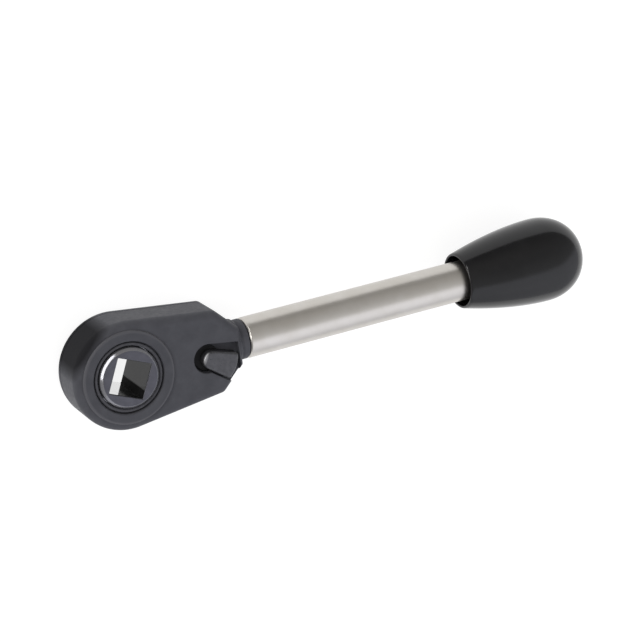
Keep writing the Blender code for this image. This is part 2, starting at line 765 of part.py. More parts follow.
def main():
    clear_scene()
    black_casting = material("black_casting", (0.055, 0.055, 0.062), 0.45, 0.2)
    blackened_steel = material("blackened_steel", (0.1, 0.1, 0.125), 0.32, 0.8)
    dark_lever = material("dark_lever", (0.12, 0.12, 0.13), 0.35, 0.6)
    stainless = material("stainless_tube", (0.62, 0.6, 0.56), 0.3, 1.0)
    black_plastic = material("black_plastic", (0.012, 0.012, 0.014), 0.2, 0.0)
    steel = material("plain_steel", (0.5, 0.5, 0.52), 0.35, 1.0)
    black_steel = material("black_screw_steel", (0.04, 0.04, 0.045), 0.4, 0.8)
    brass = material("brass", (0.75, 0.55, 0.25), 0.35, 1.0)
    rubber = material("black_rubber", (0.02, 0.02, 0.02), 0.8, 0.0)

    frame = add_empty("wrench_frame", location=(-WRENCH_MIDDLE, 0, 0))
    build_housing(frame, black_casting)
    build_back_cover(frame, black_casting)
    build_cover_screws(frame, black_steel)

    build_ratchet_wheel(frame, blackened_steel)
    seal_rise = SEAL_LIFT + SEAL_THICK / 2
    build_seal_ring("front_seal_ring", FRONT_SEAL_FLOOR + seal_rise, frame, rubber)
    build_seal_ring("back_seal_ring", BACK_SEAL_FLOOR - seal_rise, frame, rubber)
    build_wave_washer(frame, steel)
    build_pawl(frame, steel)
    build_pawl_pin(frame, steel)

    selector_pivot = add_empty("selector_pivot", frame, (*SELECTOR_PLACE, 0), SELECTOR_REST)
    build_selector(selector_pivot, dark_lever)
    build_selector_clip(selector_pivot, steel)
    plunger_axis = add_empty("plunger_axis", selector_pivot, (0, 0, PLUNGER_Z))
    plunger_axis.rotation_euler = (0, math.pi / 2, PLUNGER_DIRECTION)
    build_plunger(plunger_axis, steel)
    build_plunger_spring(plunger_axis, steel)

    build_tube(frame, stainless)
    build_spring_pin(frame, steel)
    build_tube_end_plug(frame, steel)
    build_grip_bush(frame, brass)
    build_grip(frame, black_plastic)


main()
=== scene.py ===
"""Looks of the reversible ratchet tap wrench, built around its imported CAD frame.

Every piece is made around its own axis: the head, wheel and handle around the socket's axis, and
the selector around its pivot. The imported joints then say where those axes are.
"""

import json
import math

import bmesh
import bpy
from mathutils import Matrix, Vector


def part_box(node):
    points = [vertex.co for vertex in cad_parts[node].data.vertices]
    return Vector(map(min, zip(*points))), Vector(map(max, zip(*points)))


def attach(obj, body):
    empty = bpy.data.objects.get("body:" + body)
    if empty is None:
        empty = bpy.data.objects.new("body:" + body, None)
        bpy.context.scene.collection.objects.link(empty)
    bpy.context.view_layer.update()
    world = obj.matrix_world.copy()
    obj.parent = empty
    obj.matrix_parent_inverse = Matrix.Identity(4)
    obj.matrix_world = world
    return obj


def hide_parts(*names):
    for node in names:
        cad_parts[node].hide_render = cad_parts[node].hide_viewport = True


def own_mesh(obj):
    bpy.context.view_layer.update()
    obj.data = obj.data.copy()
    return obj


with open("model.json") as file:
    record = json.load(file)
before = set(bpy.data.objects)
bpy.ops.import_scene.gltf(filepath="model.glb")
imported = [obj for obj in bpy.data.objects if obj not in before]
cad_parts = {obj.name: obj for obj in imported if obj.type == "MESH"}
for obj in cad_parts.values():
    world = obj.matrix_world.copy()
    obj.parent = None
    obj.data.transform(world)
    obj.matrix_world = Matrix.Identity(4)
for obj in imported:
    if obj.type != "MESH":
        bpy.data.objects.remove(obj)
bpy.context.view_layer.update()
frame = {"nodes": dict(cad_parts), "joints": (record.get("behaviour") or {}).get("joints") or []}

MM = 0.001

# Room around parts that turn or slide, and how far cutters reach past the head
GAP = 0.3 * MM
SCREW_GAP = 0.2 * MM
ABOVE_HEAD = 12 * MM
BELOW_HEAD = -10 * MM
COVER_ROOM_DEPTH = -20 * MM
COVER_ROOM_HALF = 30 * MM
INSIDE_COVER = -5 * MM
FLARE_SWEEP = math.radians(75)

# Head, from the socket's axis
HEAD_RADIUS = 18.5 * MM
HEAD_FRONT = 8.4 * MM
HEAD_BACK = -8.4 * MM
HEAD_REAR = 41.0 * MM
SHOULDER_X = 33.0 * MM
FLANK_NORMAL = math.radians(82.7)
CHAMFER_NORMAL = math.radians(45)
SHOULDER_ROUND = 2.6 * MM
NECK_ROUND = 1.2 * MM
LEAST_ROUND = 0.15 * MM
FRONT_ROUND = 2.8 * MM
BACK_ROUND = 1.6 * MM
SEAM_ROUND = 0.25 * MM
BOSS_RADIUS = 15.9 * MM
BOSS_TOP = 9.2 * MM
BOSS_ROOT = 1 * MM
BOSS_ROUND = 0.9 * MM
OPENING_ROUND = 0.7 * MM
OPENING_REACH = 2 * MM
BACK_OPENING_ROUND = 0.35 * MM
BACK_OPENING_REACH = 1.5 * MM
NECK_START = 34.0 * MM
NECK_RADIUS = 7.6 * MM
NECK_END = 41.05 * MM
NECK_GROOVE_RADIUS = 6.55 * MM
NECK_GROOVE_X = 41.7 * MM
NECK_SOFT = 0.45 * MM
COLLAR_RADIUS = 6.9 * MM
COLLAR_START = 42.5 * MM
COLLAR_END = 44.4 * MM
COVER_INNER = -5.6 * MM
HOUSING_LOW = -5.45 * MM
WHEEL_POCKET_RADIUS = 13.2 * MM
WHEEL_POCKET_TOP = 5.9 * MM
BEARING_RADIUS = 10.6 * MM
SEAL_ROOM_RADIUS = 12.2 * MM
FRONT_SEAL_FLOOR = 7.4 * MM
BACK_SEAL_FLOOR = -7.0 * MM
SEAL_RADIUS = 11.25 * MM
SEAL_SECTION = 0.58 * MM
SEAL_RISE = 0.7 * MM
PAWL_X = 18.6 * MM
PAWL_HOLE_RADIUS = 1.9 * MM
PAWL_POCKET_START = 5.0 * MM
PAWL_POCKET_CORNER = 17.5 * MM
PAWL_POCKET_HALF = 10.8 * MM
PAWL_POCKET_TOP = 3.9 * MM
PAWL_CLEARANCE = 2.0 * MM
BORE_BOTTOM = 3.0 * MM
SELECTOR_BORE_TOP = 7.0 * MM
PAWL_PIN_TOP = 5.3 * MM
COVER_PIN_HOLE_LOW = -7.4 * MM
COVER_PIVOT_HOLE_LOW = -7.3 * MM

# Screws of the back cover
SCREW_RADIUS = 1.0 * MM
SCREW_HEAD_RADIUS = 1.9 * MM
SCREW_END = 0.8 * MM
SCREW_STRAIGHT = 0.2 * MM
SCREW_CONE = 1.1 * MM
SCREW_SUNK = 0.1 * MM
SCREW_TIP = 0.4 * MM
SCREW_SOFT = 0.12 * MM
THREAD_LOW = -7.0 * MM
THREAD_HIGH = 1.3 * MM
COUNTERSINK_EDGE = 0.15 * MM
COUNTERSINK_STRAIGHT = 0.25 * MM
COUNTERSINK_PAST = 0.5 * MM
HEXAGON_RADIUS = 0.75 * MM
HEXAGON_EDGE = 0.12 * MM
HEXAGON_CHAMFER = 0.1 * MM
HEXAGON_DEPTH = 0.75 * MM
HEXAGON_TIP = 0.95 * MM
HEXAGON_PAST = 1 * MM
HEXAGON_TURN = 0.4
FRONT_SCREW_CIRCLE = 15.3 * MM
FRONT_SCREW_ANGLE = math.radians(125)
REAR_SCREW = (31.0 * MM, 10.2 * MM)

# Ratchet wheel
TEETH = 24
TIP_RADIUS = 12.8 * MM
ROOT_RADIUS = 11.4 * MM
TOOTH_FLAT = math.radians(1.2)
TEETH_HALF_WIDTH = 4.8 * MM
TOOTH_CHAMFER = 0.3 * MM
WHEEL_SOFT = 0.2 * MM
JOURNAL_RADIUS = 10.3 * MM
WHEEL_FRONT = 10.0 * MM
WHEEL_BACK = -10.0 * MM
WHEEL_CHAMFER = 0.9 * MM
SOCKET_HALF = 6.0 * MM
SOCKET_CORNER = 0.35 * MM
SOCKET_TURN = math.radians(-23.4)
SOCKET_FLARE = 0.4 * MM
SOCKET_PAST = 1 * MM

# Selector, from its own pivot
SELECTOR_PLACE = (28.2 * MM, -0.9 * MM)
SELECTOR_REST = math.radians(-27)
SELECTOR_SWING = math.radians(19)
SHAFT_RADIUS = 3.6 * MM
SHAFT_STEP = -5.3 * MM
SHAFT_BOTTOM = -7.0 * MM
SHAFT_SOFT = 0.3 * MM
PIVOT_RADIUS = 2.2 * MM
CLIP_GROOVE = (2.95 * MM, 3.75 * MM)
CLIP_GROOVE_DEPTH = 0.7 * MM
RECESS_FLOOR = 5.4 * MM
RECESS_RADIUS = 4.95 * MM
RECESS_END = 39.6 * MM
RECESS_UPPER = (math.radians(81.2), 4.9 * MM)
RECESS_LOWER = (math.radians(-127), 3.5 * MM)
RECESS_ROUND = 0.45 * MM
DISC_RADIUS = 4.5 * MM
DISC_TOP = 6.4 * MM
PADDLE_TOP = 9.6 * MM
PADDLE_REACH = 10.4 * MM
PADDLE_HUB_X = 1.3 * MM
PADDLE_HUB_RADIUS = 3.2 * MM
PADDLE_LEAN = math.radians(9)
PADDLE_CORNER = 1.0 * MM
PADDLE_LEAST_ROUND = 0.1 * MM
PADDLE_ROUND = 0.8 * MM
PADDLE_LOWER_ROUND = 0.3 * MM
PADDLE_LIFT = 0.05 * MM
PLUNGER_Z = -1.0 * MM
PLUNGER_BORE_RADIUS = 1.3 * MM
PLUNGER_BORE_END = -2.4 * MM
PLUNGER_BORE_MOUTH = 6.0 * MM
PLUNGER_MIDDLE = math.radians(170)
PLUNGER_DIRECTION = PLUNGER_MIDDLE - SELECTOR_SWING / 2 - SELECTOR_REST
SPRING_RADIUS = 0.72 * MM
SPRING_WIRE = 0.2 * MM
SPRING_START = -1.9 * MM
SPRING_END = 0.85 * MM
SPRING_TURNS = 4
SPRING_STEPS = 96

# Tube and grip
TUBE_RADIUS = 7.0 * MM
TUBE_INNER = 5.5 * MM
TUBE_START = 44.7 * MM
TUBE_END = 158.0 * MM
TUBE_EDGE = 0.5 * MM
TUBE_SOFT = 0.15 * MM
TUBE_RING_STEP = 20.0 * MM
SPIGOT_RADIUS = 5.2 * MM
SPIGOT_END = 62.0 * MM
SPIGOT_CHAMFER = 0.8 * MM
PIN_X = 52.0 * MM
PIN_HOLE_RADIUS = 1.55 * MM
SPIGOT_PIN_HOLE = (-8.0 * MM, -1.0 * MM)
TUBE_PIN_HOLE = (-9.0 * MM, -4.0 * MM)
BUSH_START = 159.8 * MM
BUSH_END = 172.3 * MM
BUSH_ROOM = 6.6 * MM
GRIP_BORE = 7.3 * MM
GRIP_MOUTH = 128.0 * MM
GRIP_MOUTH_RADIUS = 9.8 * MM
GRIP_WIDEST = 161.0 * MM
GRIP_RADIUS = 15.0 * MM
GRIP_END = 177.0 * MM
GRIP_TAPER_POWER = 1.75
GRIP_END_POWER = 2.15
MOUTH_INNER_RADIUS = 8.9 * MM
MOUTH_DEPTH = 12.0 * MM
MOUTH_STEP = 0.9 * MM
MOUTH_STEP_LENGTH = 1.5 * MM
MOUTH_LIP = 0.5 * MM
MOUTH_LIP_RISE = 0.2 * MM
MOUTH_EDGE = 0.25 * MM
MOUTH_SOFT = 0.3 * MM
TAPER_START = 128.3 * MM
TAPER_STEPS = 40

# Camera, in the wrench's own directions
CAMERA_BACK = Vector((-0.392, 0.323, 0.861))
CAMERA_UP = Vector((0.236, 0.940, -0.245))
CAMERA_DISTANCE = 0.7296
CAMERA_AIM = Vector((-5.25 * MM, -1.3 * MM, 0))
CAMERA_LENS = 120

# Floor and light
FLOOR_HALF = 6.0
FLOOR_GAP = 0.05 * MM
FLOOR_GLOW = 0.86
WORLD_STRENGTH = 1.5
DIM_SIDE = (-0.45, 0.89, 0.0)
LIGHT_DIRECTION = (-0.74, 0.50, 0.43)


# Meshes

def joint_place(name):
    """Where a packed joint's axis stands, seen from the front."""
    joint = next(j for j in frame["joints"] if j["name"] == name)
    return Vector((joint["pos_m"][0], joint["pos_m"][1], 0))


def add_mesh(name, rings, closed=False, location=(0, 0, 0), rotation=(0, 0, 0)):
    """A solid from rings of points, each joined to the next, and the last to the first if closed."""
    shape = bmesh.new()
    loops = [[shape.verts.new(point) for point in ring] for ring in rings]
    pairs = list(zip(loops, loops[1:]))
    if closed:
        pairs.append((loops[-1], loops[0]))
    for first, second in pairs:
        bridge(shape, first, second)
    if not closed:
        for end in (loops[0], loops[-1]):
            if len(end) > 2:
                shape.faces.new(end)
    bmesh.ops.recalc_face_normals(shape, faces=shape.faces)
    mesh = bpy.data.meshes.new(name)
    shape.to_mesh(mesh)
    shape.free()
    solid = bpy.data.objects.new(name, mesh)
    solid.location = location
    solid.rotation_euler = rotation
    bpy.context.scene.collection.objects.link(solid)
    return solid


def bridge(shape, first, second):
    """Faces between two rings. A ring of one point is the tip of a fan."""
    count = max(len(first), len(second))
    for i in range(count):
        j = (i + 1) % count
        if len(first) == 1:
            corners = (first[0], second[j], second[i])
        elif len(second) == 1:
            corners = (first[i], first[j], second[0])
        else:
            corners = (first[i], first[j], second[j], second[i])
        shape.faces.new(corners)


def boolean(target, operation, *others):
    for other in others:
        step = target.modifiers.new(other.name, "BOOLEAN")
        step.operation = operation
        step.solver = "EXACT"
        step.object = other


def settle(piece, sharp=32):
    """Keeps the result of the Booleans, removes what they cut with, and shades it smoothly."""
    if piece.modifiers:
        evaluated = piece.evaluated_get(bpy.context.evaluated_depsgraph_get())
        mesh = bpy.data.meshes.new_from_object(evaluated)
        others = [step.object for step in piece.modifiers]
        piece.modifiers.clear()
        piece.data = mesh
        for other in others:
            bpy.data.objects.remove(other, do_unlink=True)
    piece.data.shade_smooth()
    piece.data.set_sharp_from_angle(angle=math.radians(sharp))
    weighted = piece.modifiers.new("weighted_normal", "WEIGHTED_NORMAL")
    weighted.keep_sharp = True
    return piece


def finish_piece(piece, body, slot, material, *nodes, place=None, turn=0.0):
    """Puts a piece on its axis, on its body, in its finish, and in its nodes' stead."""
    place = place or joint_place("wheel_turn")
    piece.matrix_basis = Matrix.Translation(place) @ Matrix.Rotation(turn, 4, "Z") @ piece.matrix_basis
    piece.data.materials.clear()
    piece.data.materials.append(material)
    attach(piece, body)
    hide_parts(*nodes)


# Outlines and rings

def arc(radius, start, end, steps, centre=(0, 0)):
    angles = [start + (end - start) * i / steps for i in range(steps + 1)]
    return [(centre[0] + radius * math.cos(a), centre[1] + radius * math.sin(a)) for a in angles]


def line_corner(first, second):
    """Where two lines meet, each given by its normal's angle and its distance from the origin."""
    a, p = first
    b, q = second
    span = math.sin(b - a)
    x = (p * math.sin(b) - q * math.sin(a)) / span
    y = (q * math.cos(a) - p * math.cos(b)) / span
    return x, y


def fillet(first, second, radius, steps=10):
    centre = line_corner((first[0], first[1] - radius), (second[0], second[1] - radius))
    return arc(radius, first[0], second[0], steps, centre)


def soften(profile, radius, steps=4):
    """Rounds every corner of a line of points, as far as its neighbours leave room."""
    points = [Vector(point) for point in profile]
    line = [points[0]]
    for before, corner, after in zip(points, points[1:], points[2:]):
        back = before - corner
        ahead = after - corner
        reach = min(radius, back.length * 0.45, ahead.length * 0.45)
        start = corner + back.normalized() * reach
        end = corner + ahead.normalized() * reach
        for i in range(steps + 1):
            t = i / steps
            line.append(start.lerp(corner, t).lerp(corner.lerp(end, t), t))
    line.append(points[-1])
    return [tuple(point) for point in line]


def flat_ring(outline, z):
    return [(x, y, z) for x, y in outline]


def prism(outline, low, high):
    return [flat_ring(outline, low), flat_ring(outline, high)]


def rounded_slab(outline, low, high, round_low, round_high, steps=10):
    """Rings of a plate whose outline draws in along a quarter circle at its two faces."""
    rings = []
    for face, radius, inward in ((low, round_low, 1), (high, round_high, -1)):
        edge = []
        for i in range(steps + 1):
            t = math.pi / 2 * i / steps
            inset = radius * (1 - math.sin(t))
            edge.append(flat_ring(outline(inset), face + inward * radius * (1 - math.cos(t))))
        rings += edge if inward > 0 else reversed(edge)
    return rings


def flared(outline, face, beyond, radius, outward, steps=5):
    """Rings of a cutter that leaves a rounded edge where it comes out through a face."""
    rings = []
    for i in range(steps + 1):
        t = FLARE_SWEEP * i / steps
        grow = radius * (1 - math.cos(t))
        z = face - outward * radius * (1 - math.sin(t))
        rings.append(flat_ring(outline(-grow), z))
    rings.append(flat_ring(outline(-grow), beyond))
    return rings


def turned(profile, segments=128, start=0.0):
    """Rings of a turned piece about Z, from (radius, z) points. A radius of 0 is on the axis."""
    rings = []
    for radius, z in profile:
        if radius > 1e-9:
            circle = arc(radius, start, start + math.tau, segments)[:-1]
            rings.append(flat_ring(circle, z))
        else:
            rings.append([(0, 0, z)])
    return rings


def along_x():
    """Rotation that lays a turned piece's own Z along the wrench."""
    return {"rotation": (0, math.pi / 2, 0)}


def drill(target, name, place, radius, low, high, segments=48):
    hole = turned([(0, low), (radius, low), (radius, high), (0, high)], segments)
    boolean(target, "DIFFERENCE", add_mesh(name, hole, location=(*place, 0)))


# Head

def head_outline(inset=0.0):
    """The head seen from the front: round end, converging flanks, shoulders and rear chamfers."""
    shoulder_y = (HEAD_RADIUS - SHOULDER_X * math.cos(FLANK_NORMAL)) / math.sin(FLANK_NORMAL)
    across = SHOULDER_X * math.cos(CHAMFER_NORMAL) + shoulder_y * math.sin(CHAMFER_NORMAL)
    rear = (0.0, HEAD_REAR - inset)
    chamfer = (CHAMFER_NORMAL, across - inset)
    flank = (FLANK_NORMAL, HEAD_RADIUS - inset)
    half = fillet(rear, chamfer, max(NECK_ROUND - inset, LEAST_ROUND))
    half += fillet(chamfer, flank, max(SHOULDER_ROUND - inset, LEAST_ROUND))
    half += arc(HEAD_RADIUS - inset, FLANK_NORMAL, math.pi / 2, 5)[1:]
    half += arc(HEAD_RADIUS - inset, math.pi / 2, math.pi, 60)[1:-1]
    tip = [(inset - HEAD_RADIUS, 0)]
    return half + tip + [(x, -y) for x, y in reversed(half)]


def recess_outline(inset=0.0):
    """The thumb recess: a round around the selector, and two walls that leave it to the rear."""
    radius = RECESS_RADIUS - inset
    end = RECESS_END - inset - SELECTOR_PLACE[0]
    walls = [(angle, reach - inset) for angle, reach in (RECESS_UPPER, RECESS_LOWER)]
    upper = walls[0][0] - math.acos(walls[0][1] / radius)
    lower = walls[1][0] + math.acos(walls[1][1] / radius) + math.tau
    outline = arc(radius, upper, lower, 48, SELECTOR_PLACE)
    for angle, reach in reversed(walls):
        across = (reach - end * math.cos(angle)) / math.sin(angle)
        outline.append((SELECTOR_PLACE[0] + end, SELECTOR_PLACE[1] + across))
    return outline


def recess_cutter(steps=5):
    rings = []
    for i in range(steps + 1):
        t = math.pi / 2 * i / steps
        inset = RECESS_ROUND * (1 - math.sin(t))
        rings.append(flat_ring(recess_outline(inset), RECESS_FLOOR + RECESS_ROUND * (1 - math.cos(t))))
    rings += flared(recess_outline, HEAD_FRONT, ABOVE_HEAD, RECESS_ROUND, 1)
    return add_mesh("thumb_recess", rings)


def screw_places():
    places = []
    for side in (1, -1):
        angle = side * FRONT_SCREW_ANGLE
        front = (FRONT_SCREW_CIRCLE * math.cos(angle), FRONT_SCREW_CIRCLE * math.sin(angle))
        places += [front, (REAR_SCREW[0], side * REAR_SCREW[1])]
    return places


def boss_profile():
    """(radius, z) points of the raised ring around the wheel, rooted inside the head."""
    root = HEAD_FRONT - BOSS_ROOT
    axis = (0, root)
    side = [(BOSS_RADIUS, root), (BOSS_RADIUS, BOSS_TOP), (0, BOSS_TOP)]
    return [axis, side[0]] + soften(side, BOSS_ROUND, 6)[1:]


def neck_profile():
    """(radius, x) points of the neck, the groove, the collar and the spigot for the tube."""
    profile = [
        (0, NECK_START),
        (NECK_RADIUS, NECK_START),
        (NECK_RADIUS, NECK_END),
        (NECK_GROOVE_RADIUS, NECK_GROOVE_X),
        (COLLAR_RADIUS, COLLAR_START),
        (COLLAR_RADIUS, COLLAR_END),
        (SPIGOT_RADIUS, COLLAR_END),
        (SPIGOT_RADIUS, SPIGOT_END - SPIGOT_CHAMFER),
        (SPIGOT_RADIUS - SPIGOT_CHAMFER, SPIGOT_END),
        (0, SPIGOT_END),
    ]
    return soften(profile, NECK_SOFT)


def wheel_room_profile():
    """(radius, z) points of what is cut from the head for the wheel and the front seal."""
    room = SEAL_ROOM_RADIUS
    lip = [(room, FRONT_SEAL_FLOOR), (room, BOSS_TOP), (room + OPENING_REACH, BOSS_TOP)]
    lip = soften(lip, OPENING_ROUND, 6)[:-2]
    profile = [
        (0, BELOW_HEAD),
        (WHEEL_POCKET_RADIUS, BELOW_HEAD),
        (WHEEL_POCKET_RADIUS, WHEEL_POCKET_TOP),
        (BEARING_RADIUS, WHEEL_POCKET_TOP),
        (BEARING_RADIUS, FRONT_SEAL_FLOOR),
    ]
    return profile + lip + [(lip[-1][0], ABOVE_HEAD), (0, ABOVE_HEAD)]


def pawl_pocket_outline():
    """The room of the pawl, which closes in a round about the selector."""
    start, corner, half = PAWL_POCKET_START, PAWL_POCKET_CORNER, PAWL_POCKET_HALF
    end = arc(SHAFT_RADIUS + PAWL_CLEARANCE, -math.pi / 2, math.pi / 2, 24, SELECTOR_PLACE)
    return [(start, -half), (corner, -half)] + end + [(corner, half), (start, half)]


def build_head(material):
    rings = rounded_slab(head_outline, HOUSING_LOW, HEAD_FRONT, SEAM_ROUND, FRONT_ROUND)
    head = add_mesh("head_shell", rings)
    boolean(
        head,
        "UNION",
        add_mesh("boss", turned(boss_profile())),
        add_mesh("neck", turned(neck_profile(), 96), **along_x()),
    )
    end = HEAD_REAR + GAP
    half = COVER_ROOM_HALF
    cover_room = [(0, -half), (end, -half), (end, half), (0, half)]
    boolean(
        head,
        "DIFFERENCE",
        add_mesh("room_for_cover", prism(cover_room, COVER_ROOM_DEPTH, HOUSING_LOW)),
        add_mesh("wheel_room", turned(wheel_room_profile())),
        add_mesh("pawl_pocket", prism(pawl_pocket_outline(), BELOW_HEAD, PAWL_POCKET_TOP)),
        recess_cutter(),
    )
    bore = SHAFT_RADIUS + GAP
    drill(head, "selector_bore", SELECTOR_PLACE, bore, BORE_BOTTOM, SELECTOR_BORE_TOP)
    drill(head, "pawl_pin_hole", (PAWL_X, 0), PAWL_HOLE_RADIUS, BORE_BOTTOM, PAWL_PIN_TOP)
    thread = SCREW_RADIUS + SCREW_GAP
    for number, place in enumerate(screw_places(), 1):
        drill(head, f"thread_{number}", place, thread, THREAD_LOW, THREAD_HIGH)
    drill(head, "spigot_hole", (PIN_X, 0), PIN_HOLE_RADIUS, *SPIGOT_PIN_HOLE)
    settle(head)
    finish_piece(head, "handle", "black_casting", material, "housing")


def build_back_plate(material):
    rings = rounded_slab(head_outline, HEAD_BACK, COVER_INNER, BACK_ROUND, SEAM_ROUND, 8)
    plate = add_mesh("back_plate", rings)
    room = SEAL_ROOM_RADIUS
    top = INSIDE_COVER
    lip = [(room + BACK_OPENING_REACH, HEAD_BACK), (room, HEAD_BACK), (room, BACK_SEAL_FLOOR)]
    lip = soften(lip, BACK_OPENING_ROUND, 6)[2:]
    wheel_room = [(0, BELOW_HEAD), (lip[0][0], BELOW_HEAD)] + lip
    wheel_room += [(BEARING_RADIUS, BACK_SEAL_FLOOR), (BEARING_RADIUS, top), (0, top)]
    boolean(plate, "DIFFERENCE", add_mesh("plate_wheel_room", turned(wheel_room)))
    pivot = PIVOT_RADIUS + GAP
    drill(plate, "plate_pin_hole", (PAWL_X, 0), PAWL_HOLE_RADIUS, COVER_PIN_HOLE_LOW, top)
    drill(plate, "plate_pivot_hole", SELECTOR_PLACE, pivot, COVER_PIVOT_HOLE_LOW, top)
    wide = SCREW_HEAD_RADIUS + SCREW_GAP
    narrow = SCREW_RADIUS + SCREW_GAP
    countersink = [
        (0, HEAD_BACK - COUNTERSINK_PAST),
        (wide + COUNTERSINK_EDGE, HEAD_BACK - COUNTERSINK_PAST),
        (wide + COUNTERSINK_EDGE, HEAD_BACK),
        (wide, HEAD_BACK + COUNTERSINK_EDGE),
        (wide, HEAD_BACK + COUNTERSINK_STRAIGHT),
        (narrow, HEAD_BACK + SCREW_CONE),
        (narrow, top),
        (0, top),
    ]
    for number, place in enumerate(screw_places(), 1):
        cutter = add_mesh(f"countersink_{number}", turned(countersink, 48), location=(*place, 0))
        boolean(plate, "DIFFERENCE", cutter)
    settle(plate)
    finish_piece(plate, "handle", "black_casting", material, "back_cover")


def build_seals(material):
    """The two rubber rings that lie around the wheel, just above the floors of their rooms."""
    for name, node_name, z in (
        ("front_seal", "front_seal_ring", FRONT_SEAL_FLOOR + SEAL_RISE),
        ("back_seal", "back_seal_ring", BACK_SEAL_FLOOR - SEAL_RISE),
    ):
        section = arc(SEAL_SECTION, 0, math.tau, 20, (SEAL_RADIUS, z))[:-1]
        seal = add_mesh(name, turned(section), closed=True)
        settle(seal)
        finish_piece(seal, "handle", "black_rubber", material, node_name)


def build_plate_screws(material):
    face = HEAD_BACK + SCREW_SUNK
    body = [
        (0, face),
        (SCREW_HEAD_RADIUS, face),
        (SCREW_HEAD_RADIUS, face + SCREW_STRAIGHT),
        (SCREW_RADIUS, face + SCREW_CONE),
        (SCREW_RADIUS, SCREW_END - SCREW_TIP),
        (SCREW_RADIUS - SCREW_TIP, SCREW_END),
        (0, SCREW_END),
    ]
    body = soften(body, SCREW_SOFT)
    key = [
        (0, face - HEXAGON_PAST),
        (HEXAGON_RADIUS + HEXAGON_EDGE, face - HEXAGON_PAST),
        (HEXAGON_RADIUS + HEXAGON_EDGE, face),
        (HEXAGON_RADIUS, face + HEXAGON_CHAMFER),
        (HEXAGON_RADIUS, face + HEXAGON_DEPTH),
        (0, face + HEXAGON_TIP),
    ]
    for number, place in enumerate(screw_places(), 1):
        screw = add_mesh(f"plate_screw_{number}", turned(body, 48))
        boolean(screw, "DIFFERENCE", add_mesh("key", turned(key, 6, number * HEXAGON_TURN)))
        settle(screw)
        screw.location = (*place, 0)
        finish_piece(screw, "handle", "black_screw_steel", material, f"cover_screw_{number}")


# Ratchet wheel

def wheel_outline(inset=0.0):
    """The toothed rim, with a gap centred on every tooth pitch."""
    pitch = math.tau / TEETH
    outline = []
    for tooth in range(TEETH):
        middle = (tooth + 0.5) * pitch
        for radius, angle in (
            (ROOT_RADIUS - inset, TOOTH_FLAT - pitch / 2),
            (TIP_RADIUS - inset, -TOOTH_FLAT),
            (TIP_RADIUS - inset, TOOTH_FLAT),
            (ROOT_RADIUS - inset, pitch / 2 - TOOTH_FLAT),
        ):
            outline.append((radius * math.cos(middle + angle), radius * math.sin(middle + angle)))
    return outline


def square_outline(inset=0.0):
    """The square socket with small rounded corners."""
    half = SOCKET_HALF - inset - SOCKET_CORNER
    outline = []
    for quarter in range(4):
        turn = SOCKET_TURN + quarter * math.pi / 2
        centre = Matrix.Rotation(turn, 2) @ Vector((half, half))
        outline += arc(SOCKET_CORNER, turn, turn + math.pi / 2, 5, centre)
    return outline


def build_wheel(material, dull_wall, rubbed_wall):
    journal = [
        (0, WHEEL_BACK),
        (JOURNAL_RADIUS - WHEEL_CHAMFER, WHEEL_BACK),
        (JOURNAL_RADIUS, WHEEL_BACK + WHEEL_CHAMFER),
        (JOURNAL_RADIUS, WHEEL_FRONT - WHEEL_CHAMFER),
        (JOURNAL_RADIUS - WHEEL_CHAMFER, WHEEL_FRONT),
        (0, WHEEL_FRONT),
    ]
    wheel = add_mesh("wheel", turned(soften(journal, WHEEL_SOFT)))
    inner = TEETH_HALF_WIDTH - TOOTH_CHAMFER
    rim = [
        flat_ring(wheel_outline(TOOTH_CHAMFER), -TEETH_HALF_WIDTH),
        flat_ring(wheel_outline(), -inner),
        flat_ring(wheel_outline(), inner),
        flat_ring(wheel_outline(TOOTH_CHAMFER), TEETH_HALF_WIDTH),
    ]
    boolean(wheel, "UNION", add_mesh("toothed_rim", rim))
    front = flared(square_outline, WHEEL_FRONT, WHEEL_FRONT + SOCKET_PAST, SOCKET_FLARE, 1)
    back = flared(square_outline, WHEEL_BACK, WHEEL_BACK - SOCKET_PAST, SOCKET_FLARE, -1)
    socket = list(reversed(back)) + front
    boolean(wheel, "DIFFERENCE", add_mesh("socket", socket))
    settle(wheel)
    finish_piece(wheel, "wheel", "blackened_steel", material, "ratchet_wheel")
    wheel.data.materials.append(dull_wall)
    wheel.data.materials.append(rubbed_wall)
    reach = SOCKET_HALF * math.sqrt(2)
    across = Vector((-math.sin(SOCKET_TURN), math.cos(SOCKET_TURN), 0))
    # Two opposite walls of the square take the painted shade copy of the steel, the other two the
    # painted light copy.
    for face in wheel.data.polygons:
        if face.center.xy.length < reach and abs(face.normal.z) < 0.3:
            face.material_index = 2 if abs(face.normal.dot(across)) > 0.995 else 1


# Selector

def paddle_outline(inset=0.0):
    """The thumb paddle, along +X from the pivot: round hub, spreading sides, round end."""
    hub = PADDLE_HUB_RADIUS - inset
    reach = PADDLE_REACH - inset
    corner = PADDLE_CORNER - inset
    side = PADDLE_HUB_RADIUS - PADDLE_HUB_X * math.sin(PADDLE_LEAN) - PADDLE_CORNER
    ring = PADDLE_REACH - PADDLE_CORNER
    angle = PADDLE_LEAN + math.asin(side / ring)
    centre = (ring * math.cos(angle), ring * math.sin(angle))
    normal = math.pi / 2 + PADDLE_LEAN
    outline = arc(reach, 0, angle, 8)[:-1]
    outline += arc(max(corner, PADDLE_LEAST_ROUND), angle, normal, 8, centre)
    outline += arc(hub, normal, math.pi, 20, (PADDLE_HUB_X, 0))
    return outline + [(x, -y) for x, y in reversed(outline[1:-1])]


